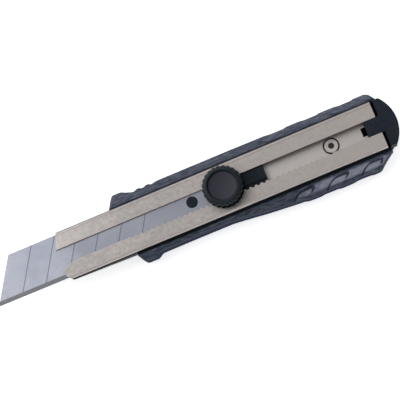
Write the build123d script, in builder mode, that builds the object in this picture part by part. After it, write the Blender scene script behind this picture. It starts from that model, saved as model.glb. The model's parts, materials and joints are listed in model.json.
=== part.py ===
from build123d import *
import os
from math import radians, tan

# Utility knife with a 25 mm snap-off blade, a sheet-steel channel and a screw-down thumb wheel.
# Millimetres. X runs along the knife, from the blade's tip at -X to the butt at +X. Y runs across
# it, towards the blade's spine. Z stands out of the slotted face. The origin is on the flat back
# of the handle, under the middle of the channel, and the knife lies on that back.

os.makedirs("parts", exist_ok=True)

# ---- driving dimensions ------------------------------------------------------------------------

# sheet-steel channel
face_z = 17.0            # the slotted face, above the back of the handle
channel_length = 187.0
channel_width = 27.2
channel_height = 6.0
sheet = 1.0
bend_radius = 1.3        # outside of the four bends
slot_spine_y = 4.2       # inner edge of the rail on the spine side
slot_edge_y = -4.9       # inner edge of the rail on the cutting-edge side

# snap-off blade
blade_width = 25.0
blade_thickness = 0.7
blade_length = 126.0     # along the cutting edge
blade_angle = 60.0       # between the score lines and the cutting edge
blade_tip_x = -134.0
score_pitch = 14.0
score_count = 6
bevel_width = 2.4
blade_top_gap = 0.2      # between the blade and the underside of the rails

# carriage
stud_x = 4.7             # axis of the clamp stud and of the thumb wheel
peg_x = stud_x - 19.2    # axis of the peg that holds the blade
slider_front = -22.0
slider_rear = 28.0
block_half_width = 3.4   # the part of the slider that stands in the slot

# thumb wheel
wheel_radius = 11.3
wheel_top_z = face_z + 9.0
knurl_count = 24
dish_radius = 7.85
thread_radius = 3.0

# handle
core_front = -58.0       # on the spine side; the front slants back to the edge side
core_edge_front = -52.6
chin_front = -91.0       # a slim chin reaches forward under the channel
core_half_width = 14.8
core_wall_top = face_z - 4.7
grip_top = face_z - 4.1
grip_bottom = 0.4
screw_positions = (-35.0, 66.1)

butt_slope_x = 80.0      # from here the back of the handle rises towards the butt
butt_slope_rise = 4.2

# end cap
cap_face_x = channel_length / 2 + 1.3
cap_apex_x = 103.7
cap_half_width = 13.5
tongue_front = 86.2
cap_root = 1.0           # how far the tongue and the plugs run on inside the cap

# running clearances and small edge breaks
slide_gap = 0.15
fit_gap = 0.1
hair_gap = 0.05
edge_break = 0.25

# ---- levels and places worked out from them ----------------------------------------------------

channel_front = -channel_length / 2
channel_rear = channel_length / 2
half_width = channel_width / 2
inner_half_width = half_width - sheet
channel_base = face_z - channel_height
floor_top = channel_base + sheet
rail_under = face_z - sheet
blade_top = rail_under - blade_top_gap
blade_base = blade_top - blade_thickness
slant = 1 / tan(radians(blade_angle))
blade_half = blade_width / 2
tail_mid_x = blade_tip_x + blade_length + blade_half * slant
standing = (Align.CENTER, Align.CENTER, Align.MIN)


def save(builder, name):
    """Label a finished piece and write it to its own file."""
    builder.part.label = name
    export_step(builder.part, f"parts/{name}.step")


# ---- channel -----------------------------------------------------------------------------------
# One folded sheet: a floor, two low walls, and two rails with an open slot between them. The rail
# on the cutting-edge side has a row of click notches along the slot.

notch_radius = 1.2
notch_depth = 0.85
notch_pitch = 3.2
notch_first_x = -51.0
notch_count = 37
slot_centre_y = (slot_spine_y + slot_edge_y) / 2
slot_width = slot_spine_y - slot_edge_y

cup_radius = 4.6         # pressed recess that takes a screw head
cup_depth = 1.2
screw_clearance_radius = 2.2
cup_base = floor_top - cup_depth

key_slot_front = 83.8
key_slot_width = 5.0
spine_setback = 3.1      # the rail on the spine side is cut back at its outer corner
edge_corner = 2.0        # corner of the other rail, which also ends a little further back
edge_setback = 0.8
flare_length = 12.0      # the slot opens out a little towards the front
flare_depth = 2.2

with BuildPart() as channel:
    with BuildSketch(Plane.YZ.offset(channel_front)):
        with Locations((0, face_z - channel_height / 2)):
            RectangleRounded(channel_width, channel_height, bend_radius)
            RectangleRounded(
                2 * inner_half_width,
                channel_height - 2 * sheet,
                bend_radius - sheet,
                mode=Mode.SUBTRACT,
            )
        with Locations((slot_centre_y, face_z)):
            Rectangle(slot_width, 3 * sheet, mode=Mode.SUBTRACT)
    extrude(amount=channel_length)
    # the front end, seen from above
    with BuildSketch(Plane.XY.offset(channel_base)):
        with BuildLine():
            Polyline(
                (channel_front + spine_setback, half_width),
                (channel_front, slot_spine_y),
                (channel_front + edge_setback, slot_edge_y - flare_depth),
                (channel_front + edge_setback, -half_width + edge_corner),
                (channel_front + edge_setback + edge_corner, -half_width),
                (channel_front - sheet, -half_width),
                (channel_front - sheet, half_width),
                close=True,
            )
        make_face()
    extrude(amount=channel_height, mode=Mode.SUBTRACT)
    # the flared mouth of the slot
    with BuildSketch(Plane.XY.offset(rail_under)):
        with BuildLine():
            Polyline(
                (channel_front, slot_edge_y),
                (channel_front, slot_edge_y - flare_depth),
                (channel_front + flare_length / 2, slot_edge_y - flare_depth / 4),
                (channel_front + flare_length, slot_edge_y),
                close=True,
            )
        make_face()
    extrude(amount=sheet, mode=Mode.SUBTRACT)
    # click notches
    with BuildSketch(Plane.XY.offset(rail_under)):
        for index in range(notch_count):
            with Locations(
                (notch_first_x + index * notch_pitch, slot_edge_y + notch_radius - notch_depth)
            ):
                Circle(notch_radius)
    extrude(amount=sheet, mode=Mode.SUBTRACT)
    # pressed cups for the two screw heads
    with BuildSketch(Plane.XY.offset(cup_base - sheet)):
        with Locations(*[(x, 0) for x in screw_positions]):
            Circle(cup_radius + sheet)
    extrude(amount=cup_depth)
    with BuildSketch(Plane.XY.offset(cup_base)):
        with Locations(*[(x, 0) for x in screw_positions]):
            Circle(cup_radius)
    extrude(amount=cup_depth, mode=Mode.SUBTRACT)
    with BuildSketch(Plane.XY.offset(cup_base - sheet)):
        with Locations(*[(x, 0) for x in screw_positions]):
            Circle(screw_clearance_radius)
    extrude(amount=sheet, mode=Mode.SUBTRACT)
    # open-ended slot in the floor, for the key under the end cap's tongue
    with BuildSketch(Plane.XY.offset(channel_base)):
        with Locations(((key_slot_front + channel_rear) / 2, 0)):
            Rectangle(channel_rear - key_slot_front, key_slot_width)
    extrude(amount=sheet, mode=Mode.SUBTRACT)
save(channel, "channel")

# ---- blade -------------------------------------------------------------------------------------
# A slanted strip, ground on both sides along the cutting edge, scored across one face and drilled
# near its tail.

edge_land = 0.06         # thickness left at the cutting edge
score_width = 0.35
score_depth = 0.15
blade_hole_radius = 3.2
peg_radius = blade_hole_radius - fit_gap
blade_middle_z = (blade_top + blade_base) / 2

with BuildPart() as blade:
    with BuildSketch(Plane.YZ.offset(blade_tip_x)):
        with BuildLine():
            Polyline(
                (blade_half, blade_base),
                (blade_half, blade_top),
                (bevel_width - blade_half, blade_top),
                (-blade_half, blade_middle_z + edge_land / 2),
                (-blade_half, blade_middle_z - edge_land / 2),
                (bevel_width - blade_half, blade_base),
                close=True,
            )
        make_face()
    extrude(amount=blade_length + blade_width * slant)
    with BuildSketch(Plane.XY.offset(blade_base)):
        with BuildLine():
            Polyline(
                (blade_tip_x, -blade_half),
                (blade_tip_x + blade_width * slant, blade_half),
                (blade_tip_x + blade_width * slant + blade_length, blade_half),
                (blade_tip_x + blade_length, -blade_half),
                close=True,
            )
        make_face()
    extrude(amount=blade_thickness, mode=Mode.INTERSECT)
    with BuildSketch(Plane.XY.offset(blade_top - score_depth)):
        for index in range(1, score_count + 1):
            with Locations((blade_tip_x + blade_half * slant + index * score_pitch, 0)):
                Rectangle(2 * blade_width, score_width, rotation=blade_angle)
    extrude(amount=score_depth, mode=Mode.SUBTRACT)
    with BuildSketch(Plane.XY.offset(blade_base)):
        with Locations((peg_x, 0)):
            Circle(blade_hole_radius)
    extrude(amount=blade_thickness, mode=Mode.SUBTRACT)
save(blade, "blade")

# ---- slider ------------------------------------------------------------------------------------
# The moulded carriage under the blade. Its front part carries the peg. Behind the blade's tail it
# rises under the rails, which it clamps from below, and a block stands in the slot.

slider_base = floor_top + 0.5
slider_half_width = inner_half_width - slide_gap
slider_corner = 1.5
peg_round = 0.6
shoulder_top = rail_under - slide_gap
block_top = face_z - 0.4
peg_top = face_z - 0.6
stud_head_side = 10.0
stud_head_height = 2.0
stud_head_base = slider_base + 0.1
stud_head_top = stud_head_base + stud_head_height
tail_gap = 0.35          # along X, between the blade's tail and the slider's shoulder
stud_wall = 0.7          # left between the stud's hole and the spring's pocket
spring_pocket_front = stud_x + thread_radius + stud_wall
spring_pocket_length = 6.2
spring_pocket_depth = 1.7
pocket_floor_z = shoulder_top - hair_gap


def behind_tail(y, offset):
    """X of the line that runs along the blade's tail, offset behind it."""
    return tail_mid_x + y * slant + offset


with BuildPart() as slider:
    with BuildSketch(Plane.XY.offset(slider_base)):
        with Locations(((slider_front + slider_rear) / 2, 0)):
            RectangleRounded(slider_rear - slider_front, 2 * slider_half_width, slider_corner)
    extrude(amount=blade_base - slider_base)
    # shoulders under the rails
    with BuildSketch(Plane.XY.offset(blade_base)):
        with BuildLine():
            Polyline(
                (behind_tail(slider_half_width, tail_gap), slider_half_width),
                (slider_rear - slider_corner, slider_half_width),
                (slider_rear, slider_half_width - slider_corner),
                (slider_rear, slider_corner - slider_half_width),
                (slider_rear - slider_corner, -slider_half_width),
                (behind_tail(-slider_half_width, tail_gap), -slider_half_width),
                close=True,
            )
        make_face()
    extrude(amount=shoulder_top - blade_base)
    # the block in the slot
    with BuildSketch(Plane.XY.offset(shoulder_top)):
        with BuildLine():
            Polyline(
                (behind_tail(block_half_width, tail_gap), block_half_width),
                (slider_rear, block_half_width),
                (slider_rear, -block_half_width),
                (behind_tail(-block_half_width, tail_gap), -block_half_width),
                close=True,
            )
        make_face()
    extrude(amount=block_top - shoulder_top)
    rim = slider.faces().sort_by(Axis.Z)[-1].edges()
    chamfer(rim, edge_break)
    # the peg, with a domed top
    with Locations((peg_x, 0, blade_base)):
        Cylinder(peg_radius, peg_top - blade_base, align=standing)
    fillet(slider.edges().filter_by(GeomType.CIRCLE).sort_by(Axis.Z)[-1], peg_round)
    # the stud's hole and the square pocket for its head
    with BuildSketch(Plane.XY.offset(slider_base)):
        with Locations((stud_x, 0)):
            Circle(thread_radius + fit_gap)
    extrude(amount=channel_height, mode=Mode.SUBTRACT)
    with BuildSketch(Plane.XY.offset(slider_base)):
        with Locations((stud_x, 0)):
            Rectangle(stud_head_side + 2 * fit_gap, stud_head_side + 2 * fit_gap)
    extrude(amount=stud_head_top - slider_base, mode=Mode.SUBTRACT)
    # pocket in the block's side for the click spring
    with BuildSketch(Plane.XY.offset(pocket_floor_z)):
        with Locations(
            (
                spring_pocket_front + spring_pocket_length / 2,
                -block_half_width + spring_pocket_depth / 2,
            )
        ):
            Rectangle(spring_pocket_length, spring_pocket_depth)
    extrude(amount=channel_height, mode=Mode.SUBTRACT)
save(slider, "slider")

# ---- click spring ------------------------------------------------------------------------------
# A small leaf bent into a bow. Its ends sit in the slider's pocket and its nose points at the
# notches in the rail, just clear of their tips.

leaf_thickness = 0.3
leaf_end_clearance = 0.15
leaf_nose_y = slot_edge_y + fit_gap
leaf_back_y = spring_pocket_depth - block_half_width - fit_gap
leaf_start_x = spring_pocket_front + leaf_end_clearance
leaf_end_x = spring_pocket_front + spring_pocket_length - leaf_end_clearance
leaf_nose_x = (leaf_start_x + leaf_end_x) / 2

with BuildPart() as click_spring:
    with BuildSketch(Plane.XY.offset(pocket_floor_z + hair_gap)):
        with BuildLine():
            ThreePointArc(
                (leaf_start_x, leaf_back_y - leaf_thickness),
                (leaf_nose_x, leaf_nose_y),
                (leaf_end_x, leaf_back_y - leaf_thickness),
            )
            Line((leaf_end_x, leaf_back_y - leaf_thickness), (leaf_end_x, leaf_back_y))
            ThreePointArc(
                (leaf_end_x, leaf_back_y),
                (leaf_nose_x, leaf_nose_y + leaf_thickness),
                (leaf_start_x, leaf_back_y),
            )
            Line((leaf_start_x, leaf_back_y), (leaf_start_x, leaf_back_y - leaf_thickness))
        make_face()
    extrude(amount=block_top - pocket_floor_z - 2 * hair_gap)
save(click_spring, "click_spring")

# ---- clamp stud and its retaining ring ---------------------------------------------------------
# The square head is held against turning by the slider's pocket. The ring in the groove near the
# top stops the wheel from being unscrewed right off.

stud_top = face_z + 6.2
ring_base = face_z + 5.1
ring_thickness = 0.5
ring_outer_radius = 4.5
groove_radius = 2.4
stud_bevel = 0.4
ring_opening = 3.84      # width of the ring's open side

with BuildPart() as clamp_stud:
    with Locations((stud_x, 0, stud_head_base)):
        Box(stud_head_side, stud_head_side, stud_head_height, align=standing)
    with Locations((stud_x, 0, stud_head_top)):
        Cylinder(thread_radius, stud_top - stud_head_top, align=standing)
    chamfer(clamp_stud.edges().filter_by(GeomType.CIRCLE).sort_by(Axis.Z)[-1], stud_bevel)
    with BuildSketch(Plane.XY.offset(ring_base - hair_gap)):
        with Locations((stud_x, 0)):
            Circle(2 * thread_radius)
            Circle(groove_radius, mode=Mode.SUBTRACT)
    extrude(amount=ring_thickness + 2 * hair_gap, mode=Mode.SUBTRACT)
save(clamp_stud, "clamp_stud")

with BuildPart() as retaining_ring:
    with BuildSketch(Plane.XY.offset(ring_base)):
        with Locations((stud_x, 0)):
            Circle(ring_outer_radius)
            Circle(groove_radius + hair_gap, mode=Mode.SUBTRACT)
        with Locations((stud_x + ring_outer_radius / 2, 0)):
            Rectangle(ring_outer_radius, ring_opening, mode=Mode.SUBTRACT)
    extrude(amount=ring_thickness)
save(retaining_ring, "retaining_ring")

# ---- clamp washer, brass insert, thumb wheel and its cap ---------------------------------------
# The washer bridges the slot and presses the rails down on the slider's shoulders. The insert's
# neck passes through it and is flared below, so the washer rises with the wheel.

washer_base = face_z + hair_gap
washer_thickness = 1.0
washer_radius = 9.0
neck_radius = 3.6
lip_radius = slot_spine_y - slide_gap
lip_thickness = 0.25
wheel_base = washer_base + washer_thickness + fit_gap
insert_radius = 5.0
insert_top = wheel_base + 2.5
cap_thickness = 1.0
cap_top = wheel_top_z - 1.4
cap_dip = 0.4
cavity_radius = 5.6
rim_round = 1.2
knurl_notch_radius = 1.2
knurl_depth = 0.5

with BuildPart() as clamp_washer:
    with BuildSketch(Plane.XY.offset(washer_base)):
        with Locations((stud_x, 0)):
            Circle(washer_radius)
            Circle(neck_radius + fit_gap, mode=Mode.SUBTRACT)
    extrude(amount=washer_thickness)
    chamfer(clamp_washer.edges().group_by(Axis.Z)[-1].sort_by(SortBy.LENGTH)[-1], edge_break)
save(clamp_washer, "clamp_washer")

with BuildPart() as wheel_insert:
    with BuildSketch(Plane.XZ):
        with BuildLine():
            Polyline(
                (thread_radius + hair_gap, washer_base - lip_thickness - hair_gap),
                (lip_radius, washer_base - lip_thickness - hair_gap),
                (lip_radius, washer_base - hair_gap),
                (neck_radius, washer_base - hair_gap),
                (neck_radius, wheel_base),
                (insert_radius, wheel_base),
                (insert_radius, insert_top),
                (thread_radius + hair_gap, insert_top),
                close=True,
            )
        make_face()
    revolve(axis=Axis.Z)
wheel_insert.part.move(Location((stud_x, 0, 0)))
save(wheel_insert, "wheel_insert")

with BuildPart() as thumb_wheel:
    with BuildSketch(Plane.XY.offset(wheel_base)):
        with Locations((stud_x, 0)):
            Circle(wheel_radius)
            Circle(insert_radius, mode=Mode.SUBTRACT)
    extrude(amount=wheel_top_z - wheel_base)
    fillet(thumb_wheel.edges().group_by(Axis.Z)[-1].sort_by(SortBy.LENGTH)[-1], rim_round)
    with BuildSketch(Plane.XY.offset(insert_top)):
        with Locations((stud_x, 0)):
            Circle(cavity_radius)
    extrude(amount=cap_top - cap_thickness - insert_top, mode=Mode.SUBTRACT)
    with BuildSketch(Plane.XY.offset(cap_top - cap_thickness)):
        with Locations((stud_x, 0)):
            Circle(dish_radius)
    extrude(amount=wheel_top_z - cap_top + cap_thickness, mode=Mode.SUBTRACT)
    with BuildSketch(Plane.XY.offset(wheel_base)):
        with Locations((stud_x, 0)):
            with PolarLocations(wheel_radius + knurl_notch_radius - knurl_depth, knurl_count):
                Circle(knurl_notch_radius)
    extrude(amount=wheel_top_z - wheel_base, mode=Mode.SUBTRACT)
save(thumb_wheel, "thumb_wheel")

dip_radius = (dish_radius**2 + cap_dip**2) / (2 * cap_dip)

with BuildPart() as wheel_cap:
    with Locations((stud_x, 0, cap_top - cap_thickness)):
        Cylinder(dish_radius, cap_thickness, align=standing)
    with Locations((stud_x, 0, cap_top - cap_dip + dip_radius)):
        Sphere(dip_radius, mode=Mode.SUBTRACT)
save(wheel_cap, "wheel_cap")

# ---- handle core -------------------------------------------------------------------------------
# A moulded tray under the channel: a floor, low walls that hold the channel's sides, ribs that
# carry its floor, two bosses for the screws and a slim chin ahead of the grips. The rear is open
# for the end cap's plug.

core_wall = 2.0
core_floor = 2.0
core_rear = channel_rear
cheek_rear = core_rear + 3.0
cheek_straight = 1.2
cheek_base = core_wall_top - 4.0
pocket_half_width = half_width + fit_gap
core_inner_half = core_half_width - core_wall
core_nose = 6.5          # the front end slopes back towards the handle's back
chin_half_width = half_width - 0.3
chin_front_base = 9.2
chin_rear_base = 5.6
chin_rear = core_front + core_nose
plug_seat_front = 80.0
plug_seat_floor = butt_slope_rise + 1.0
hollow_front = core_front + core_nose + core_wall
hollow_rear = plug_seat_front - core_wall
rib_thickness = 1.4
rib_positions = (-22.0, -8.0, 6.0, 20.0, 34.0, 48.0)
hollow_middle_x = (hollow_front + hollow_rear) / 2
hollow_length = hollow_rear - hollow_front
boss_radius = 5.0
insert_bore_radius = 3.2
screw_radius = 2.0
cup_seat_radius = cup_radius + sheet + fit_gap
core_edge_bevel = 1.0

with BuildPart() as handle_core:
    with BuildSketch(Plane.XZ.offset(-core_half_width)):
        with BuildLine():
            Polyline(
                (core_front + core_nose, 0),
                (butt_slope_x, 0),
                (core_rear, butt_slope_rise),
                (core_rear, core_wall_top),
                (core_front, core_wall_top),
                (core_front, channel_base / 2),
                close=True,
            )
        make_face()
    extrude(amount=2 * core_half_width)
    chamfer(handle_core.edges().group_by(Axis.Z)[0].filter_by(Axis.X), core_edge_bevel)
    # the front, seen from above, follows the noses of the two grips
    with BuildSketch(Plane.XY):
        with BuildLine():
            Polyline(
                (core_front, core_half_width),
                (core_edge_front, -core_half_width),
                (core_front, -core_half_width),
                close=True,
            )
        make_face()
    extrude(amount=core_wall_top, mode=Mode.SUBTRACT)
    # the chin
    with BuildSketch(Plane.XZ.offset(-chin_half_width)):
        with BuildLine():
            Polyline(
                (chin_front, channel_base),
                (chin_front, chin_front_base),
                (core_front, chin_rear_base),
                (chin_rear, chin_rear_base),
                (chin_rear, channel_base),
                close=True,
            )
        make_face()
    extrude(amount=2 * chin_half_width)
    # seat for the channel
    with BuildSketch(Plane.XY.offset(channel_base)):
        with Locations(((core_front + core_rear) / 2, 0)):
            Rectangle(core_rear - core_front, 2 * pocket_half_width)
    extrude(amount=core_wall_top - channel_base, mode=Mode.SUBTRACT)
    # hollow under the seat
    with BuildSketch(Plane.XY.offset(core_floor)):
        with Locations((hollow_middle_x, 0)):
            Rectangle(hollow_length, 2 * core_inner_half)
    extrude(amount=channel_base - core_floor, mode=Mode.SUBTRACT)
    # shallower seat for the end cap's plug
    with BuildSketch(Plane.XY.offset(plug_seat_floor)):
        with Locations(((plug_seat_front + core_rear) / 2, 0)):
            Rectangle(core_rear - plug_seat_front, 2 * core_inner_half)
    extrude(amount=channel_base - plug_seat_floor, mode=Mode.SUBTRACT)
    # ribs and screw bosses
    with BuildSketch(Plane.XY.offset(core_floor)):
        for x in rib_positions:
            with Locations((x, 0)):
                Rectangle(rib_thickness, 2 * core_inner_half)
        with Locations((hollow_middle_x, 0)):
            Rectangle(hollow_length, rib_thickness)
        with Locations(*[(x, 0) for x in screw_positions]):
            Circle(boss_radius)
            Rectangle(rib_thickness, 2 * core_inner_half)
    extrude(amount=channel_base - core_floor)
    with BuildSketch(Plane.XY.offset(cup_base - sheet)):
        with Locations(*[(x, 0) for x in screw_positions]):
            Circle(cup_seat_radius)
    extrude(amount=channel_base - cup_base + sheet, mode=Mode.SUBTRACT)
    with BuildSketch(Plane.XY.offset(core_floor)):
        with Locations(*[(x, 0) for x in screw_positions]):
            Circle(insert_bore_radius)
    extrude(amount=channel_base - core_floor, mode=Mode.SUBTRACT)
    # cheeks beside the end cap, drawn in towards the rear
    for side in (-1, 1):
        with BuildSketch(Plane.XY.offset(cheek_base)):
            with BuildLine():
                Polyline(
                    (core_rear, side * pocket_half_width),
                    (cheek_rear, side * pocket_half_width),
                    (core_rear + cheek_straight, side * core_half_width),
                    (core_rear, side * core_half_width),
                    close=True,
                )
            make_face()
        extrude(amount=core_wall_top - cheek_base)
save(handle_core, "handle_core")

# ---- channel screws and their inserts ----------------------------------------------------------

screw_head_radius = 3.9
screw_head_height = 1.5
hex_width = 3.2
hex_depth = 1.1
screw_tip_z = core_floor + 1.0

with BuildPart() as channel_screws:
    with Locations(*[(x, 0, cup_base) for x in screw_positions]):
        Cylinder(screw_head_radius, screw_head_height, align=standing)
    chamfer(channel_screws.edges().group_by(Axis.Z)[-1], edge_break)
    with Locations(*[(x, 0, screw_tip_z) for x in screw_positions]):
        Cylinder(screw_radius, cup_base - screw_tip_z, align=standing)
    with BuildSketch(Plane.XY.offset(cup_base + screw_head_height)):
        with Locations(*[(x, 0) for x in screw_positions]):
            RegularPolygon(hex_width / 2, 6, major_radius=False)
    extrude(amount=-hex_depth, mode=Mode.SUBTRACT)
save(channel_screws, "channel_screws")

with BuildPart() as screw_inserts:
    with BuildSketch(Plane.XY.offset(core_floor)):
        with Locations(*[(x, 0) for x in screw_positions]):
            Circle(insert_bore_radius)
            Circle(screw_radius, mode=Mode.SUBTRACT)
    extrude(amount=cup_base - sheet - core_floor - fit_gap)
save(screw_inserts, "screw_inserts")

# ---- grips -------------------------------------------------------------------------------------
# Soft mouldings on the two long sides of the core, bevelled along their outer edges. The one on
# the spine side has a hump and a shallow thumb rest at its front. The other has a finger stop at
# its front and swells towards the butt.

grip_bevel = 1.5
grip_back_bevel = 1.5
slope_end_x = cap_apex_x
slope_end_z = (slope_end_x - butt_slope_x) * butt_slope_rise / (core_rear - butt_slope_x)

# half outlines, front to rear: distance along the knife, distance out from the core's side
spine_side = ((-59.2, 0), (-56, 5.8), (-54.6, 7), (-49.8, 7), (-47.4, 5.7), (-43.8, 4.7))
spine_side += ((-31.5, 4.7), (-29.8, 5.2), (34, 5.2), (40, 4.8), (92.8, 5), (95, 4.3), (97.4, 0))
edge_side = ((-53, 0), (-50.9, 4.2), (-49.8, 4.8), (-43.4, 4.8), (-41, 2.8), (0, 2.7), (6, 3.1))
edge_side += ((33, 5.9), (46, 7.2), (84.6, 7.5), (86.5, 7.2), (95.4, 0))

for name, side, outline in (("upper_grip", 1, spine_side), ("lower_grip", -1, edge_side)):
    with BuildPart() as grip:
        with BuildSketch(Plane.XY.offset(grip_bottom)):
            with BuildLine():
                Polyline(
                    *[(x, side * (core_half_width + out)) for x, out in outline],
                    close=True,
                )
            make_face()
        extrude(amount=grip_top - grip_bottom)
        outer_edges = grip.edges().group_by(Axis.Z)[-1].sort_by(Axis((0, 0, 0), (0, side, 0)))
        chamfer(outer_edges[1:], grip_bevel)
        outer_edges = grip.edges().group_by(Axis.Z)[0].sort_by(Axis((0, 0, 0), (0, side, 0)))
        chamfer(outer_edges[1:], grip_back_bevel)
        with BuildSketch(Plane.XZ):
            with BuildLine():
                Polyline(
                    (butt_slope_x, grip_bottom),
                    (slope_end_x, slope_end_z + grip_bottom),
                    (slope_end_x, 0),
                    (butt_slope_x, 0),
                    close=True,
                )
            make_face()
        extrude(amount=2 * channel_width, both=True, mode=Mode.SUBTRACT)
    save(grip, name)

# ---- end cap -----------------------------------------------------------------------------------
# A rounded butt that covers the ends of the rails. Its tongue fills the slot, a flat plug enters
# the channel, a key runs in the floor's open slot and a hollow plug enters the core.

cap_lip = 3.0            # straight depth of the cap's edge before it draws in
cap_draw = 13.0          # degrees
cap_corner_x = 98.6
cap_underside_z = 10.0    # of the underside, at the apex
cap_rim_round = 0.9
channel_plug_front = 88.5
core_plug_front = 81.0
core_plug_wall = 1.6
core_plug_root = 4.0     # deeper, as the cap draws in below its lip
core_plug_half = core_inner_half - 2 * fit_gap
core_plug_base = plug_seat_floor + 2 * fit_gap
core_plug_top = channel_base - 2 * fit_gap

with BuildPart() as end_cap:
    with BuildSketch(Plane.XY.offset(face_z - cap_lip)) as cap_plan:
        with BuildLine():
            Line((cap_face_x, -cap_half_width), (cap_corner_x, -cap_half_width))
            ThreePointArc(
                (cap_corner_x, -cap_half_width),
                (cap_apex_x, 0),
                (cap_corner_x, cap_half_width),
            )
            Polyline(
                (cap_corner_x, cap_half_width),
                (cap_face_x, cap_half_width),
                (cap_face_x, -cap_half_width),
            )
        make_face()
    extrude(amount=cap_lip)
    extrude(cap_plan.sketch, amount=-(face_z - cap_lip), taper=cap_draw)
    # the rim of the top face is rounded, apart from the side against the rails
    rim = end_cap.edges().group_by(Axis.Z)[-1].sort_by(Axis.X)[1:]
    fillet(rim, cap_rim_round)
    # the underside rises towards the butt
    with BuildSketch(Plane.XZ):
        with BuildLine():
            Polyline(
                (cap_face_x, butt_slope_rise + fit_gap),
                (cap_apex_x, cap_underside_z),
                (cap_apex_x, 0),
                (cap_face_x - cap_root, 0),
                (cap_face_x - cap_root, butt_slope_rise + fit_gap),
                close=True,
            )
        make_face()
    extrude(amount=channel_width, both=True, mode=Mode.SUBTRACT)
    # the tongue in the slot, the plug in the channel and the key in the floor
    with Locations(((tongue_front + cap_face_x + cap_root) / 2, slot_centre_y, floor_top + fit_gap)):
        Box(
            cap_face_x + cap_root - tongue_front,
            slot_width - 2 * fit_gap,
            face_z - floor_top - fit_gap,
            align=standing,
        )
    with Locations(((channel_plug_front + cap_face_x + cap_root) / 2, 0, floor_top + fit_gap)):
        Box(
            cap_face_x + cap_root - channel_plug_front,
            2 * slider_half_width,
            rail_under - floor_top - 2 * fit_gap,
            align=standing,
        )
    with Locations(((tongue_front + cap_face_x + cap_root) / 2, 0, core_plug_top)):
        Box(
            cap_face_x + cap_root - tongue_front,
            key_slot_width - 2 * fit_gap,
            floor_top + fit_gap - core_plug_top,
            align=standing,
        )
    # the plug in the core, hollowed from the front
    with Locations(((core_plug_front + cap_face_x + core_plug_root) / 2, 0, core_plug_base)):
        Box(
            cap_face_x + core_plug_root - core_plug_front,
            2 * core_plug_half,
            core_plug_top - core_plug_base,
            align=standing,
        )
    with Locations((core_plug_front, 0, core_plug_base + core_plug_wall)):
        Box(
            2 * (cap_face_x - core_plug_front - core_plug_wall),
            2 * (core_plug_half - core_plug_wall),
            core_plug_top - core_plug_base - 2 * core_plug_wall,
            align=standing,
            mode=Mode.SUBTRACT,
        )
save(end_cap, "end_cap")
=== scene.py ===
import json
import math

import bmesh
import bpy
import numpy as np
from mathutils import Matrix, Vector
from mathutils.kdtree import KDTree


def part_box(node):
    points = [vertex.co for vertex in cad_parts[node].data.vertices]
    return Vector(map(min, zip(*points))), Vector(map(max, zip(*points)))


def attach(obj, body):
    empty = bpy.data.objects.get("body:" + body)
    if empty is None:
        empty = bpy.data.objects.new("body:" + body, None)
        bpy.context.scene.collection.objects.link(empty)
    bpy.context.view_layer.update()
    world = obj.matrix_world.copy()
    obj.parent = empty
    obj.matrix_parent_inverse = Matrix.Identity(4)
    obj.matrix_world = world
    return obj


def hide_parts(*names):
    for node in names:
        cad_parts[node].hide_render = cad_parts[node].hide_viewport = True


# The looks of a heavy snap-off knife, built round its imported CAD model. Blender's unit is the
# metre. Shapes below are worked out in millimetres and scaled by MM when their mesh is made.

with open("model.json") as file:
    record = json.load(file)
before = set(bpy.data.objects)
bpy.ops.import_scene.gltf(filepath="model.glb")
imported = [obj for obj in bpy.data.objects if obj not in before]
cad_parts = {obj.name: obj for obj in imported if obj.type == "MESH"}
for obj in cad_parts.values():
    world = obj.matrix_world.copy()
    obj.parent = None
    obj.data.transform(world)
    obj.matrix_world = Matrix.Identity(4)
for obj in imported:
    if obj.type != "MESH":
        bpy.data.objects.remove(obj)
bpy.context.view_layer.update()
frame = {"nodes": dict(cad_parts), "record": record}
MM = 0.001

# ---- places read from the frame, in millimetres ------------------------------------------------


def low_high(node):
    """Lowest and highest corner of a CAD node at rest, in millimetres."""
    low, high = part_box(node)
    return low / MM, high / MM


channel_low, channel_high = low_high("channel")
wheel_low, wheel_high = low_high("thumb_wheel")
blade_low, blade_high = low_high("blade")
insert_low, insert_high = low_high("wheel_insert")
disc_low, disc_high = low_high("wheel_cap")

face_z = channel_high.z
core_side = low_high("handle_core")[1].y
wheel_axis = Vector(((wheel_low.x + wheel_high.x) / 2, 0, 0))
wheel_radius = (wheel_high.y - wheel_low.y) / 2


# ---- mesh helpers ------------------------------------------------------------------------------


crease_degrees = 32      # edges sharper than this stay crisp


def finish_mesh(name, shape):
    """Turn a bmesh in millimetres into a smooth-shaded object with crisp creases."""
    bmesh.ops.recalc_face_normals(shape, faces=shape.faces)
    mesh = bpy.data.meshes.new(name)
    shape.to_mesh(mesh)
    shape.free()
    mesh.transform(Matrix.Scale(MM, 4))
    mesh.shade_smooth()
    mesh.set_sharp_from_angle(angle=math.radians(crease_degrees))
    made = bpy.data.objects.new(name, mesh)
    bpy.context.scene.collection.objects.link(made)
    return made


def skin(shape, rings, closed):
    """Join neighbouring rings with quads, and the last to the first or cap both ends."""
    pairs = list(zip(rings, rings[1:]))
    if closed:
        pairs.append((rings[-1], rings[0]))
    for first, second in pairs:
        count = len(first)
        for j in range(count):
            after = (j + 1) % count
            shape.faces.new((first[j], first[after], second[after], second[j]))
    if not closed:
        shape.faces.new(rings[0])
        shape.faces.new(rings[-1])


def arc(centre_r, centre_z, radius, start, end, steps):
    """Points of an arc in the (radius, height) plane, angles in degrees."""
    angles = np.radians(np.linspace(start, end, steps + 1))
    return [(centre_r + radius * math.cos(a), centre_z + radius * math.sin(a)) for a in angles]


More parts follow.
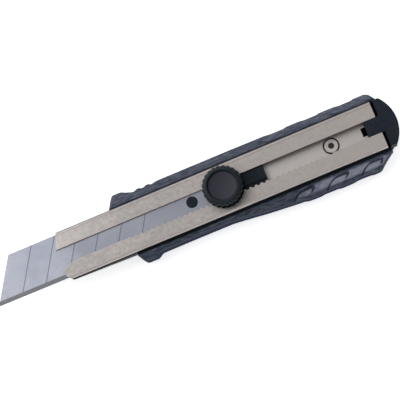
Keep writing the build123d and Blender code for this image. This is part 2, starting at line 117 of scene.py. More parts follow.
def lathe(name, profile, steps, reach=None):
    """A ring turned about the wheel's axis from a closed profile of (radius, height) points."""
    shape = bmesh.new()
    rings = []
    for k in range(steps):
        angle = 2 * math.pi * k / steps
        ring = []
        for radius, height in profile:
            far = reach(radius, angle) if reach else radius
            place = (wheel_axis.x + far * math.cos(angle), far * math.sin(angle), height)
            ring.append(shape.verts.new(place))
        rings.append(ring)
    skin(shape, rings, closed=True)
    bmesh.ops.remove_doubles(shape, verts=shape.verts, dist=1e-4)
    return finish_mesh(name, shape)


def smooth_step(low, high, value):
    """0 below low, 1 above high, and an even S between them."""
    share = np.clip((value - low) / (high - low), 0, 1)
    return share * share * (3 - 2 * share)


# ---- grips -------------------------------------------------------------------------------------
# Each grip is a band along the core's side. Its plan outline gives how far it stands out at each
# place along the knife; its top edge is rounded by the true distance to that outline.

grip_low, grip_high = low_high("upper_grip")
grip_back = grip_low.z
grip_top = grip_high.z
butt_start = 80.0        # from here the underside rises towards the butt
butt_rise = 4.2 / 13.5   # per unit along the knife
corner_ease = 0.45       # softness of the outline's corners
inner_break = 0.35       # small rounding along the channel
least_width = 0.02
swell_height = 0.45
swell_rise = 2.5
swell_fall = 4.0
full_span = (5, 55)      # the grips grow rounder and fuller between these places
crown_drop = 0.9         # how far the top falls away at crown_width from the core
crown_width = 8.0
relief_fade = 0.8        # the pads fade out this close to the outline
sunk_span = (15, 30)     # where the top sinks by the pads' height

station_pitch = 0.3
across_steps = 46
wall_steps = 5
back_steps = 6

spine_outline = [
    (-59.1, 0.05), (-57.5, 3.1), (-55.5, 6.3), (-54.6, 6.9), (-49.9, 6.95), (-47.4, 5.7),
    (-45.2, 4.95), (-43.8, 4.4), (-31.2, 4.45), (-29.6, 5.0), (34.0, 5.0), (38.5, 4.55),
    (92.8, 4.45), (94.9, 3.9), (97.4, 0.05),
]
edge_outline = [
    (-53.0, 0.05), (-51.0, 3.8), (-50.0, 4.6), (-43.6, 4.65), (-42.2, 3.7), (-40.6, 2.6),
    (-20.0, 2.4), (1.0, 2.45), (7.0, 3.1), (20.0, 4.6), (34.0, 5.8), (46.0, 6.6), (58.0, 6.85),
    (76.0, 6.7), (85.0, 7.0), (86.5, 6.7), (95.4, 0.05),
]
spine_swells = ((45.5, 58.5), (64.5, 78.5), (84.5, 95.5))
edge_swells = ((41.5, 54.0), (60.5, 73.0), (79.5, 89.0))
thumb_ridges = (-40.2, -34.6)
ridge_half_width = 1.9
ridge_height = 0.7

# Low pads along the rear of each grip: place of the first, how many, their pitch and length, how
# far their ends slant along the knife per unit across, where across the slant starts, the pads'
# inner edge, the roundness of their corners, their height, the depth of the groove round them and of
# its painted shade, how strong the painted highlight on the rear of the grip and on the pads is, and
# how much lighter all of the grip's top is.
spine_pads = dict(first=32.5, count=4, pitch=19.3, length=9.5, lean=-2.2, pivot=4.2, inner=-4.0)
spine_pads.update(corner=0.6, height=0.35, groove=0.0, rubbed=0.05, handled=0.08)
edge_pads = dict(first=45.0, count=3, pitch=19.7, length=8.2, lean=-1.25, pivot=2.6, inner=2.6)
edge_pads.update(corner=1.7, height=0.4, groove=0.85, rubbed=0.62, handled=0.01)
pad_reach = 12.0
pad_step = 0.45          # half width of a pad's sloping rim
groove_offset = 0.55
groove_half_width = 0.6
groove_open = (1.0, 2.4)  # at a pad's rear the groove fades out this far from its inner edge
groove_close = 2.0       # and the rear counts from this far before the pad's end
sheen_span = (36, 60)     # a painted highlight band begins here along the knife
sheen_inner = (0.8, 1.8)  # it begins this far out from the core
sheen_outer = (4.6, 6.0)  # and ends this far out
pad_sheen = 0.3           # extra painted highlight on the pads themselves
round_shade = -0.4       # painted shade darkens the grips round their top edges
wall_shade = -0.8        # and is darkest on their matt side walls


def plan_outline(points, ridges, swells):
    """Places along the knife and how far out the grip stands at each, with its corners eased."""
    step = 0.1
    along = np.arange(points[0][0], points[-1][0] + step / 2, step)
    out = np.interp(along, *zip(*points))
    reach = np.arange(-3 * corner_ease, 3 * corner_ease + step, step)
    weights = np.exp(-0.5 * (reach / corner_ease) ** 2)
    padded = np.pad(out, len(reach) // 2, mode="edge")
    out = np.convolve(padded, weights / weights.sum(), mode="same")
    out = out[len(reach) // 2 : len(reach) // 2 + len(along)]
    for place in ridges:
        out += ridge_height * np.clip(1 - ((along - place) / ridge_half_width) ** 2, 0, 1) ** 0.8
    for start, end in swells:
        rise = smooth_step(start, start + swell_rise, along)
        out += swell_height * rise * smooth_step(-end, swell_fall - end, -along)
    return along, out


def pad_relief(x, out, pads):
    """Height of the pads and their grooves at a place on a grip's top, and its tone and painted
    light.
    """
    band = smooth_step(*sheen_inner, out) * (1 - smooth_step(*sheen_outer, out))
    height = 0.0
    # A painted highlight along the rear band, over the top's lighter tone.
    tone_and_light = pads["handled"] + pads["rubbed"] * float(band * smooth_step(*sheen_span, x))
    pad_end = pads["length"] / 2
    slanted = x - pads["lean"] * (out - pads["pivot"])
    for k in range(pads["count"]):
        centre = pads["first"] + k * pads["pitch"]
        past_end = abs(slanted - centre) - pad_end + pads["corner"]
        past_side = abs(out - pads["inner"] - pad_reach / 2) - pad_reach / 2 + pads["corner"]
        beyond = math.hypot(max(past_end, 0), max(past_side, 0))
        beyond += min(max(past_end, past_side), 0) - pads["corner"]
        raised = float(smooth_step(-pad_step, pad_step, -beyond))
        groove = math.exp(-(((beyond - groove_offset) / groove_half_width) ** 2))
        rear = float(smooth_step(pad_end - groove_close, pad_end, slanted - centre))
        groove *= 1 - rear * float(smooth_step(*groove_open, out - pads["inner"]))
        height += pads["height"] * raised - pads["groove"] * groove
        # A painted highlight on the raised pads and painted shade in their grooves.
        tone_and_light += pad_sheen * pads["rubbed"] * raised - groove * pads["groove"]
    return height, tone_and_light


def make_grip(name, side, outline_of, pads, top_round, back_round):
    """One grip as a closed mesh: a finely stepped top, a side wall and a rounded underside.

    The top edge's radius grows from the first value of top_round at the front to the second.
    """
    along, outline = outline_of
    border = KDTree(len(along))
    for index, (x, out) in enumerate(zip(along, outline)):
        border.insert((x, out, 0), index)
    border.balance()
    shape = bmesh.new()
    tone_and_light_layer = shape.verts.layers.float.new("tone_and_light")
    rings = []
    stations = np.linspace(along[0], along[-1], int((along[-1] - along[0]) / station_pitch) + 1)
    for x in stations:
        width = max(float(np.interp(x, along, outline)), least_width)
        full = float(smooth_step(*full_span, x))
        radius = top_round[0] + (top_round[1] - top_round[0]) * full
        sunk = pads["height"] * float(smooth_step(*sunk_span, x))
        back = grip_back + max(0.0, x - butt_start) * butt_rise
        section = []
        for u in np.linspace(0, math.pi / 2, across_steps + 1):
            out = width * math.sin(u)
            gap = border.find((x, out, 0))[2] if u < math.pi / 2 else 0.0
            edge = max(0.0, 1 - gap / radius)
            drop = radius * (1 - math.sqrt(max(0.0, 1 - edge * edge)))
            drop += inner_break * max(0.0, 1 - out / inner_break) ** 2
            crown = crown_drop * full * (out / crown_width) ** 2
            relief, tone_and_light = pad_relief(x, out, pads)
            share = float(smooth_step(0, relief_fade, gap))
            z = grip_top - sunk - drop - crown + relief * share
            # Painted shade grows towards the rounded top edge.
            section.append((out, z, tone_and_light * share + round_shade * edge**2))
        wall_top = section[-1][1]
        rounding = min(back_round, 0.95 * width)
        wall_low = back + rounding
        # The side wall and underside carry the darkest painted shade.
        for share in np.linspace(0, 1, wall_steps + 1)[1:]:
            section.append((width, wall_top + (wall_low - wall_top) * share, wall_shade))
        for turn in np.linspace(0, math.pi / 2, back_steps + 1)[1:]:
            inset = rounding * (1 - math.cos(turn))
            section.append((width - inset, wall_low - rounding * math.sin(turn), wall_shade))
        section.append((0.0, back, wall_shade))
        ring = []
        for out, z, tone_and_light in section:
            corner = shape.verts.new((x, side * (core_side + out), z))
            corner[tone_and_light_layer] = tone_and_light
            ring.append(corner)
        rings.append(ring)
    skin(shape, rings, closed=False)
    return finish_mesh(name, shape)


# ---- thumb wheel -------------------------------------------------------------------------------

knurl_count = 24
knurl_depth = 0.55
rim_width = 2.75         # the rim's top falls away from the dish in a quarter ellipse
rim_drop = 2.1
dish_edge_round = 0.35
dish_wall_lean = 0.25
lobe_fade = (1.5, 0.4)   # the lobes grow between these distances in from the outside
foot_steps = ((1.0, 0), (0.35, 0.15), (0, 0.6))  # inset and rise of the rounding underneath
cavity_margin = 0.6      # room round the insert above the wheel's bore
dish_hole = 0.02         # too small to see; it keeps the dish's profile off the axis


def wheel_reach(radius, angle):
    """The outside of the wheel in shallow rounded lobes; its inside stays round."""
    phase = (knurl_count * angle / (2 * math.pi)) % 1
    lobe = (2 * phase - 1) ** 2
    fade_from, fade_to = (wheel_radius - inset for inset in lobe_fade)
    weight = float(smooth_step(fade_from, fade_to, radius))
    return radius - knurl_depth * lobe * weight


def make_wheel():
    """The knurled clamp wheel: bored for its insert below and dished above."""
    base, top = wheel_low.z, wheel_high.z
    dish = (disc_high.y - disc_low.y) / 2
    bore = (insert_high.y - insert_low.y) / 2
    cavity = bore + cavity_margin
    lip = dish + dish_wall_lean + dish_edge_round
    profile = [(bore, base)]
    profile += [(wheel_radius - inset, base + rise) for inset, rise in foot_steps]
    profile.append((wheel_radius, top - rim_drop))
    for turn in np.linspace(0, math.pi / 2, 13)[1:]:
        inset = rim_width * (1 - math.cos(turn))
        profile.append((wheel_radius - inset, top - rim_drop * (1 - math.sin(turn))))
    profile += arc(lip, top - dish_edge_round, dish_edge_round, 90, 180, 5)
    profile += [(dish, disc_high.z), (dish, disc_low.z), (cavity, disc_low.z)]
    profile += [(cavity, insert_high.z), (bore, insert_high.z)]
    return lathe("knurled_wheel", profile, knurl_count * 14, wheel_reach)


def make_dish():
    """The disc pressed into the wheel: a shallow bowl that curves up at its edge."""
    clearance = 0.02
    edge = (disc_high.y - disc_low.y) / 2 - clearance
    cove = 0.35
    bowl_depth = 0.85
    bowl_rise = 0.9
    middle = disc_high.z - bowl_depth
    radii = np.linspace(dish_hole, edge - cove, 16)
    bowl = [(r, middle + bowl_rise * (r / edge) ** 2) for r in radii]
    height = bowl[-1][1] + cove
    profile = [(dish_hole, disc_low.z)] + bowl + arc(edge - cove, height, cove, -80, 0, 7)
    profile += [(edge, disc_low.z)]
    return lathe("wheel_dish", profile, 96)


# ---- material helpers --------------------------------------------------------------------------


def plain(name, colour, roughness, metallic=0.0, specular=0.5):
    """A material with its uniform values set on the shader, and its tree ready for detail."""
    made = bpy.data.materials.new(name)
    made.use_nodes = True
    shader = made.node_tree.nodes["Principled BSDF"]
    shader.inputs["Base Color"].default_value = (*colour, 1)
    shader.inputs["Roughness"].default_value = roughness
    shader.inputs["Metallic"].default_value = metallic
    shader.inputs["Specular IOR Level"].default_value = specular
    return made, made.node_tree, shader


def node(tree, kind, inputs, **settings):
    """Add a shader node, set it up, and give each input a value or another node's output."""
    made = tree.nodes.new("ShaderNode" + kind)
    for key, value in settings.items():
        setattr(made, key, value)
    for socket, value in inputs.items():
        if isinstance(value, bpy.types.NodeSocket):
            tree.links.new(value, made.inputs[socket])
        else:
            made.inputs[socket].default_value = value
    return made


def rest_place(tree, stretch=(1, 1, 1)):
    """The point on the piece in its own rest frame, stretched to lay a grain along an axis."""
    coords = node(tree, "TexCoord", {})
    scaled = node(tree, "Mapping", {"Vector": coords.outputs["Object"], "Scale": stretch})
    return scaled.outputs["Vector"]


def noise(tree, vector, scale, detail=3.0, roughness=0.5):
    """A noise value, 0 to 1. Scale is in features per metre."""
    made = node(
        tree,
        "TexNoise",
        {"Vector": vector, "Scale": scale, "Detail": detail, "Roughness": roughness},
    )
    return made.outputs["Fac"]


def spread(tree, value, low, high, from_low=0.35, from_high=0.65):
    """Map part of a value's range, at first the middle of a noise, onto low to high."""
    limits = {"Value": value, "From Min": from_low, "From Max": from_high}
    made = node(tree, "MapRange", {**limits, "To Min": low, "To Max": high})
    return made.outputs["Result"]


def fade(tree, coordinate, low, high, start, end):
    """Go from low to high between two places along a coordinate, in millimetres."""
    return spread(tree, coordinate, low, high, start * MM, end * MM)


def rest_parts(tree, place):
    """The three coordinates of a point at rest."""
    return node(tree, "SeparateXYZ", {"Vector": place}).outputs


def sums(tree, operation, *values):
    """One arithmetic step on sockets or numbers."""
    return node(tree, "Math", dict(enumerate(values)), operation=operation).outputs[0]


def product(tree, first, *others):
    """Masks multiplied together."""
    result = first
    for other in others:
        result = sums(tree, "MULTIPLY", result, other)
    return result


def mix_colour(tree, share, first, second):
    """Mix two colours; each is a socket or a plain colour."""
    made = tree.nodes.new("ShaderNodeMix")
    made.data_type = "RGBA"
    sockets = {0: share, 6: first, 7: second}
    for index, value in sockets.items():
        if isinstance(value, bpy.types.NodeSocket):
            tree.links.new(value, made.inputs[index])
        elif index:
            made.inputs[index].default_value = (*value, 1)
        else:
            made.inputs[index].default_value = value
    return made.outputs[2]


def roughen(tree, shader, layers):
    """Bump from several height sockets, each with its own depth in metres and its strength."""
    normal = None
    for height, depth, strength in layers:
        inputs = {"Height": height, "Distance": depth, "Strength": strength}
        if normal is not None:
            inputs["Normal"] = normal
        normal = node(tree, "Bump", inputs).outputs["Normal"]
    tree.links.new(normal, shader.inputs["Normal"])


def link(tree, socket, shader, name):
    """Drive one of the shader's inputs."""
    tree.links.new(socket, shader.inputs[name])


def moulded_plastic(name, dark, light, roughness, specular):
    """Black or grey moulded plastic: spark-eroded grain, faint clouding and rubbed patches."""
    made, tree, shader = plain(name, dark, roughness, specular=specular)
    place = rest_place(tree)
    cloud = noise(tree, place, 120, detail=4)
    rubbed = noise(tree, place, 600, detail=6, roughness=0.65)
    fine = noise(tree, place, 9000, detail=2)
    tone = mix_colour(tree, spread(tree, cloud, 0, 1), dark, light)
    speck = spread(tree, rubbed, 0, 0.35, 0.55, 0.8)
    tone = mix_colour(tree, speck, tone, [min(1, 2.2 * c + 0.01) for c in light])
    link(tree, tone, shader, "Base Color")
    link(tree, spread(tree, rubbed, roughness - 0.07, roughness + 0.08), shader, "Roughness")
    roughen(tree, shader, [(fine, 0.00002, 0.35), (rubbed, 0.00005, 0.12)])
    return made


def turned_metal(name, dark, light, roughness):
    """Small turned or plated metal parts."""
    made, tree, shader = plain(name, dark, roughness, metallic=1.0)
    place = rest_place(tree)
    cloud = noise(tree, place, 350, detail=4)
    lines = noise(tree, rest_place(tree, (1, 1, 14)), 1400, detail=3)
    link(tree, mix_colour(tree, spread(tree, cloud, 0, 1), dark, light), shader, "Base Color")
    link(tree, spread(tree, lines, roughness - 0.08, roughness + 0.1), shader, "Roughness")
    roughen(tree, shader, [(lines, 0.00002, 0.25)])
    return made


def paint_shade(made, share, painted_shade, specular):
    """Cover a plastic with dull painted shade where share is 1; specular is what it has elsewhere.
    """
    tree = made.node_tree
    shader = tree.nodes["Principled BSDF"]
    tone = shader.inputs["Base Color"].links[0].from_socket
    link(tree, mix_colour(tree, share, tone, painted_shade), shader, "Base Color")
    link(tree, spread(tree, share, specular, 0, 0, 1), shader, "Specular IOR Level")


def wheel_plastic():
    """The wheel's moulded plastic, with painted shade darkening and dulling its knurled side."""
    specular = 0.22
    dark, light = (0.006, 0.010, 0.015), (0.010, 0.016, 0.022)
    made = moulded_plastic("wheel_plastic", dark, light, 0.42, specular)
    tree = made.node_tree
    height = rest_parts(tree, rest_place(tree))["Z"]
    side_top = wheel_high.z - rim_drop
    # Painted shade down the knurled side, below the rim's top.
    flank_shade = fade(tree, height, 1, 0, side_top, side_top + 1)
    paint_shade(made, flank_shade, (0.003, 0.004, 0.006), specular)
    return made


cap_gap = 1.6            # the plugs show in a gap this wide behind the channel
cap_tongue_side = 4.8    # the tongue between the plugs has no painted shade above plug_top
plug_top = face_z - 0.8


def cap_plastic():
    """The cap's moulded plastic, with painted shade on the plugs that show in the gap ahead of the
    cap.
    """
    specular = 0.06
    dark, light = (0.015, 0.020, 0.029), (0.021, 0.027, 0.038)
    made = moulded_plastic("cap_plastic", dark, light, 0.45, specular)
    tree = made.node_tree
    parts = rest_parts(tree, rest_place(tree))
    gap_end = channel_high.x + cap_gap
    off_middle = sums(tree, "ABSOLUTE", parts["Y"])
    ahead = fade(tree, parts["X"], 1, 0, gap_end, gap_end + 0.2)
    below = fade(tree, parts["Z"], 1, 0, plug_top, plug_top + 0.1)
    aside = fade(tree, off_middle, 0, 1, cap_tongue_side, cap_tongue_side + 0.1)
    # Painted shade on the plugs in the gap ahead of the cap, but not on the tongue above plug_top.
    painted_shade = product(tree, ahead, sums(tree, "MAXIMUM", below, aside))
    paint_shade(made, painted_shade, (0.003, 0.003, 0.004), specular)
    return made


# Where the channel's painted light and shade lie, in millimetres. A pair whose name ends in "in"
# says how far in from a folded side a mark begins to show and how far in it is full.
rubbed_span = (-40, 90)  # painted light brightens the sheet towards the rear, along the knife
shine_span = (-90, -45)
shine_side = (-2, 2)     # the painted sheen is on the spine side of these
bend_line_in = 1.9
bend_line_half_width = 0.6
spine_shade_in = (0.9, 0.5)
edge_highlight_in = (1.2, 0.6)
wall_in = (1.0, 0.2)
wall_below = (0.5, 2.0)  # the same for the painted shade down the side wall, below the face
lit_floor_in = (0.7, 0.9)    # the floor between the walls is painted lighter
cup_top = 1.8            # the top of the screws' cups, above the channel's underside


def sheet_flats(tree, place, mottle, grain):
    """Tone of the plated flats: clouds, mottles, grain and pits."""
    warm, cool, pale = (0.37, 0.335, 0.32), (0.325, 0.312, 0.306), (0.47, 0.44, 0.42)
    cloud = noise(tree, place, 70, detail=5, roughness=0.6)
    pits = noise(tree, place, 2600, detail=3)
    tone = mix_colour(tree, spread(tree, cloud, 0, 1, 0.4, 0.6), warm, cool)
    tone = mix_colour(tree, spread(tree, mottle, 0, 0.85, 0.44, 0.68), tone, (0.25, 0.222, 0.21))
    tone = mix_colour(tree, spread(tree, mottle, 0.4, 0, 0.3, 0.5), tone, pale)
    tone = mix_colour(tree, spread(tree, grain, 0, 0.7, 0.44, 0.66), tone, pale)
    tone = mix_colour(tree, spread(tree, pits, 0, 0.6, 0.62, 0.76), tone, (0.15, 0.14, 0.135))
    return tone, pits


def sheet_painted_light(tree, parts, tone):
    """Painted light: the sheet brighter to the rear, and a painted sheen on the spine-side rail at
    the front.
    """
    # Painted light brightens the sheet towards the rear.
    rubbed = fade(tree, parts["X"], 0, 0.75, *rubbed_span)
    tone = mix_colour(tree, rubbed, tone, (0.48, 0.435, 0.415))
    # A painted sheen on the spine-side rail at the front.
    front = fade(tree, parts["X"], 0.25, 0, *shine_span)
    shine = product(tree, front, fade(tree, parts["Y"], 0, 1, *shine_side))
    return mix_colour(tree, shine, tone, (0.62, 0.585, 0.575))


def sheet_folds(tree, parts, tone):
    """Painted shade: a dark line before the spine-side fold and that fold dark; a painted highlight
    opposite.
    """
    side = channel_high.y
    # A painted dark line before the spine-side bend, then the fold painted dark.
    line = (side - bend_line_in) * MM
    off_line = sums(tree, "ABSOLUTE", sums(tree, "SUBTRACT", parts["Y"], line))
    line_share = fade(tree, off_line, 0.45, 0, 0, bend_line_half_width)
    tone = mix_colour(tree, line_share, tone, (0.2, 0.185, 0.18))
    fold_from, fold_to = (side - inset for inset in spine_shade_in)
    spine_fold_shade = fade(tree, parts["Y"], 0, 0.92, fold_from, fold_to)
    tone = mix_colour(tree, spine_fold_shade, tone, (0.05, 0.05, 0.053))
    # A painted highlight on the bend on the cutting-edge side.
    bend_to, bend_from = (inset - side for inset in edge_highlight_in)
    edge_bend_highlight = fade(tree, parts["Y"], 0.65, 0, bend_from, bend_to)
    return mix_colour(tree, edge_bend_highlight, tone, (0.85, 0.79, 0.76))


def sheet_walls(tree, parts, tone):
    """Painted shade down the dull side wall and in the screws' cups; the floor between walls painted
    lighter.
    """
    side = channel_high.y
    wall_to, wall_from = (inset - side for inset in wall_in)
    wall_top, wall_base = (face_z - drop for drop in wall_below)
    # Painted shade down the side wall, which is made dull as well.
    beside = fade(tree, parts["Y"], 1, 0, wall_from, wall_to)
    shaded = product(tree, beside, fade(tree, parts["Z"], 1, 0, wall_base, wall_top))
    tone = mix_colour(tree, shaded, tone, (0.02, 0.02, 0.021))
    # The floor between the walls is painted lighter.
    deep = fade(tree, parts["Z"], 0.6, 0, wall_base, wall_base + 0.5)
    off_middle = sums(tree, "ABSOLUTE", parts["Y"])
    floor_to, floor_from = (side - inset for inset in lit_floor_in)
    between = fade(tree, off_middle, 1, 0, floor_from, floor_to)
    tone = mix_colour(tree, product(tree, deep, between), tone, (0.62, 0.58, 0.56))
    # Painted shade in the screws' cups.
    cups = channel_low.z + cup_top
    painted_shade = fade(tree, parts["Z"], 0.95, 0, cups, cups + 0.1)
    return mix_colour(tree, painted_shade, tone, (0.02, 0.02, 0.022)), shaded


def plated_sheet():
    """Satin nickel-plated sheet: mottled flats with a grain along the knife, duller folded sides,
    painted light and shade.
    """
    metallic, specular = 0.85, 0.4
    made, tree, shader = plain("plated_sheet", (0.37, 0.335, 0.32), 0.42, metallic, specular)
    place = rest_place(tree)
    parts = rest_parts(tree, place)
    mottle = noise(tree, place, 420, detail=5, roughness=0.7)
    grain = noise(tree, rest_place(tree, (1, 22, 22)), 260, detail=5, roughness=0.65)
    tone, pits = sheet_flats(tree, place, mottle, grain)
    tone = sheet_folds(tree, parts, sheet_painted_light(tree, parts, tone))
    tone, shaded = sheet_walls(tree, parts, tone)
    link(tree, tone, shader, "Base Color")
    link(tree, spread(tree, shaded, metallic, 0, 0, 1), shader, "Metallic")
    link(tree, spread(tree, shaded, specular, 0, 0, 1), shader, "Specular IOR Level")
    link(tree, spread(tree, grain, 0.36, 0.5), shader, "Roughness")
    roughen(tree, shader, [(grain, 0.00003, 0.2), (mottle, 0.00005, 0.1), (pits, 0.00002, 0.15)])
    return made


score_pitch = 14.0
score_count = 6
score_slant = 1 / math.tan(math.radians(60))
score_start = blade_low.x + (blade_high.y - blade_low.y) / 2 * score_slant
bevel_width = 2.25
slot_shade_behind = (-2, 12)  # painted shade darkens the blade from before the channel's mouth to behind it


def score_lines(tree, parts):
    """The share of darkening in the score lines, greatest on their middle, on the upper face only.
    """
    leant = sums(tree, "MULTIPLY", parts["Y"], -score_slant)
    along = sums(tree, "ADD", parts["X"], leant)
    laps = sums(tree, "DIVIDE", along, score_pitch * MM)
    cycle = sums(tree, "ADD", laps, 0.5 - score_start / score_pitch)
    off_line = sums(tree, "ABSOLUTE", sums(tree, "SUBTRACT", sums(tree, "FRACT", cycle), 0.5))
    line_dark = spread(tree, off_line, 0.75, 0, 0.012, 0.03)
    face = fade(tree, parts["Z"], 0, 1, blade_high.z - 0.3, blade_high.z - 0.1)
    first = score_start + 5
    last = score_start + score_count * score_pitch + 6
    scored = fade(tree, along, 0, 1, first, first + 1)
    unscored = fade(tree, along, 1, 0, last, last + 1)
    return product(tree, line_dark, face, scored, unscored)


def ground_blade():
    """Blade steel: cool grey flats, a darker ground bevel, darker score lines and painted shade in
    the channel.
    """
    flat, pale = (0.275, 0.287, 0.34), (0.33, 0.338, 0.39)
    made, tree, shader = plain("ground_blade", flat, 0.36, metallic=0.9, specular=0.5)
    place = rest_place(tree)
    cloud = noise(tree, place, 60, detail=4)
    grain = noise(tree, rest_place(tree, (1, 16, 16)), 420, detail=4, roughness=0.6)
    across = noise(tree, rest_place(tree, (20, 1, 1)), 500, detail=4, roughness=0.6)
    tone = mix_colour(tree, spread(tree, cloud, 0, 1), flat, pale)
    tone = mix_colour(tree, spread(tree, grain, 0, 0.35), tone, (0.24, 0.25, 0.295))
    parts = rest_parts(tree, place)
    shade_from, shade_to = (channel_low.x + offset for offset in slot_shade_behind)
    # Painted shade on the blade where it runs into the channel.
    slot_shade = fade(tree, parts["X"], 0, 0.35, shade_from, shade_to)
    tone = mix_colour(tree, slot_shade, tone, (0.17, 0.175, 0.205))
    tone = mix_colour(tree, score_lines(tree, parts), tone, (0.10, 0.115, 0.16))
    bevel_top = blade_low.y + bevel_width
    bevel = fade(tree, parts["Y"], 1, 0, bevel_top, bevel_top + 0.25)
    ground = mix_colour(tree, spread(tree, across, 0, 1), (0.16, 0.165, 0.18), (0.24, 0.245, 0.26))
    link(tree, mix_colour(tree, bevel, tone, ground), shader, "Base Color")
    link(tree, spread(tree, grain, 0.3, 0.44), shader, "Roughness")
    roughen(tree, shader, [(grain, 0.00002, 0.15), (across, 0.00002, 0.1)])
    return made


def grip_rubber():
    """Soft dark blue-grey grip: fine leathery grain, cloudy tone, painted highlights on the pads and
    painted shade in the grooves.
    """
    deep, soft = (0.040, 0.055, 0.083), (0.060, 0.072, 0.100)
    made, tree, shader = plain("grip_rubber", deep, 0.55, specular=0.12)
    place = rest_place(tree)
    cloud = noise(tree, place, 90, detail=5, roughness=0.6)
    streak = noise(tree, rest_place(tree, (1, 7, 7)), 240, detail=4)
    fine = noise(tree, place, 5200, detail=3)
    tone = mix_colour(tree, spread(tree, cloud, 0, 1), deep, soft)
    tone = mix_colour(tree, spread(tree, streak, 0, 0.9, 0.49, 0.66), tone, (0.13, 0.14, 0.18))
    tone = mix_colour(tree, spread(tree, streak, 0.9, 0, 0.34, 0.48), tone, (0.018, 0.025, 0.042))
    tone_and_light = node(tree, "Attribute", {}, attribute_name="tone_and_light").outputs["Fac"]
    patches = noise(tree, rest_place(tree, (1, 2, 2)), 330, detail=6, roughness=0.7)
    # Above zero the attribute lightens: a painted highlight on the pads and the rear band, and a
    # lighter tone.
    lightening = sums(tree, "MULTIPLY", tone_and_light, spread(tree, patches, 0.55, 1.4))
    tone = mix_colour(tree, spread(tree, lightening, 0, 0.8, 0, 0.6), tone, (0.33, 0.335, 0.43))
    # Below zero it is painted shade: in the grooves, round the top edges and down the side walls.
    tone = mix_colour(tree, spread(tree, tone_and_light, 0.8, 0, -0.6, -0.05), tone, (0.035, 0.044, 0.075))
    link(tree, tone, shader, "Base Color")
    link(tree, spread(tree, tone_and_light, 0, 0.12, -0.7, -0.1), shader, "Specular IOR Level")
    link(tree, spread(tree, cloud, 0.48, 0.6), shader, "Roughness")
    roughen(tree, shader, [(fine, 0.00003, 0.3), (streak, 0.00006, 0.15)])
    return made


# ---- the pieces --------------------------------------------------------------------------------

materials = {
    "channel_steel": plated_sheet(),
    "blade_steel": ground_blade(),
    "zinc_steel": turned_metal("zinc_plate", (0.62, 0.60, 0.59), (0.74, 0.72, 0.70), 0.32),
    "brass": turned_metal("turned_brass", (0.52, 0.37, 0.15), (0.6, 0.44, 0.2), 0.3),
    "black_plastic": moulded_plastic(
        "black_plastic", (0.011, 0.016, 0.021), (0.016, 0.023, 0.030), 0.45, 0.06
    ),
    "wheel_plastic": wheel_plastic(),
    "dish_plastic": moulded_plastic(
        "dish_plastic", (0.026, 0.027, 0.042), (0.035, 0.036, 0.053), 0.45, 0.2
    ),
    "cap_plastic": cap_plastic(),
    "grip_rubber": grip_rubber(),
}


def dress(piece, slot):
    """Give a piece the material of one of the record's slots."""
    piece.data.materials.clear()
    piece.data.materials.append(materials[slot])


for part in frame["record"]["subparts"]:
    dress(frame["nodes"][part["node"]], part["material_slot"])


def stand_for(piece, body, cad_node, slot):
    """A detailed piece takes the place of a CAD node."""
    dress(piece, slot)
    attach(piece, body)
    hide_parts(cad_node)


spine_plan = plan_outline(spine_outline, thumb_ridges, spine_swells)
edge_plan = plan_outline(edge_outline, (), edge_swells)
upper = make_grip("spine_grip", 1, spine_plan, spine_pads, (1.5, 1.6), 1.8)
lower = make_grip("edge_grip", -1, edge_plan, edge_pads, (2.0, 3.0), 3.0)
stand_for(upper, "handle", "upper_grip", "grip_rubber")
stand_for(lower, "handle", "lower_grip", "grip_rubber")
stand_for(make_wheel(), "wheel", "thumb_wheel", "wheel_plastic")
stand_for(make_dish(), "wheel", "wheel_cap", "dish_plastic")


# ---- floor, light and camera -------------------------------------------------------------------


def make_floor():
    """A pale studio table, well past the view on all sides."""
    shape = bmesh.new()
    half = 1500.0
    count = 12
    steps = np.linspace(-half, half, count + 1)
    rows = [[shape.verts.new((x, y, -0.05)) for y in steps] for x in steps]
    for first, second in zip(rows, rows[1:]):
        for j in range(count):
            shape.faces.new((first[j], first[j + 1], second[j + 1], second[j]))
    floor = finish_mesh("studio_floor", shape)
    made, tree, shader = plain("pale_floor", (0.93, 0.93, 0.93), 0.7, specular=0.1)
    paper = noise(tree, rest_place(tree), 300, detail=4)
    tone = mix_colour(tree, spread(tree, paper, 0, 1), (0.92, 0.92, 0.92), (0.94, 0.94, 0.94))
    link(tree, tone, shader, "Base Color")
    shader.inputs["Emission Color"].default_value = (1, 1, 1, 1)
    shader.inputs["Emission Strength"].default_value = 0.62
    floor.data.materials.append(made)


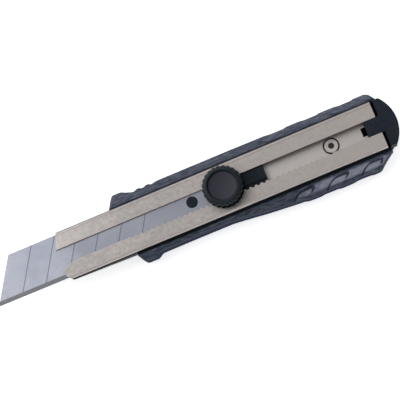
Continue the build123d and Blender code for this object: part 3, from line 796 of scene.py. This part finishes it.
def softbox(name, place, aim, size, power):
    """A square area light at a place, turned towards aim; metres and watts."""
    data = bpy.data.lights.new(name, "AREA")
    data.shape = "RECTANGLE"
    data.size, data.size_y = size
    data.energy = power
    lamp = bpy.data.objects.new(name, data)
    bpy.context.scene.collection.objects.link(lamp)
    lamp.location = place
    lamp.rotation_euler = (Vector(aim) - Vector(place)).to_track_quat("-Z", "Y").to_euler()


def make_sky(strength):
    """Soft white light, brightest overhead and dimmest towards the cutting edge and the butt."""
    world = bpy.data.worlds.new("studio")
    world.use_nodes = True
    bpy.context.scene.world = world
    tree = world.node_tree
    coords = node(tree, "TexCoord", {})
    parts = node(tree, "SeparateXYZ", {"Vector": coords.outputs["Generated"]}).outputs
    tilt = sums(tree, "ADD", parts["Z"], sums(tree, "MULTIPLY", parts["Y"], 0.5))
    tilt = sums(tree, "ADD", tilt, sums(tree, "MULTIPLY", parts["X"], -0.4))
    share = spread(tree, tilt, 0, 1, -0.3, 0.8)
    tone = mix_colour(tree, share, (0.2, 0.21, 0.24), (1, 1, 1))
    background = tree.nodes["Background"]
    tree.links.new(tone, background.inputs["Color"])
    background.inputs["Strength"].default_value = strength


def make_camera():
    """A long lens above the wheel, leaning towards the cutting edge and rolled."""
    lean, swing, roll = math.radians(13.0), math.radians(5.321), math.radians(21.4236)
    distance = 0.7
    aim = Vector((-0.010, 0, face_z * MM))
    aim_right, aim_up = -0.00039, 0.00074
    back = Vector(
        (math.sin(swing) * math.cos(lean), -math.sin(lean), math.cos(swing) * math.cos(lean))
    )
    level = Vector((0, 1, 0)).cross(back).normalized()
    upright = back.cross(level)
    right = math.cos(roll) * level - math.sin(roll) * upright
    up = math.sin(roll) * level + math.cos(roll) * upright
    data = bpy.data.cameras.new("camera")
    data.lens = 117.02
    data.sensor_width = 36
    camera = bpy.data.objects.new("camera", data)
    bpy.context.scene.collection.objects.link(camera)
    turn = Matrix((right, up, back)).transposed().to_4x4()
    place = aim - aim_right * right - aim_up * up + distance * back
    camera.matrix_world = Matrix.Translation(place) @ turn
    bpy.context.scene.camera = camera


make_floor()
make_sky(0.66)
softbox("key", (-0.6, 0.72, 0.6), (-0.03, 0, 0), (1.5, 1.1), 6.8)
softbox("front", (-0.45, 0.25, 1.0), (-0.1, 0, 0), (0.4, 0.4), 1.0)
make_camera()
bpy.context.scene.view_settings.view_transform = "Standard"
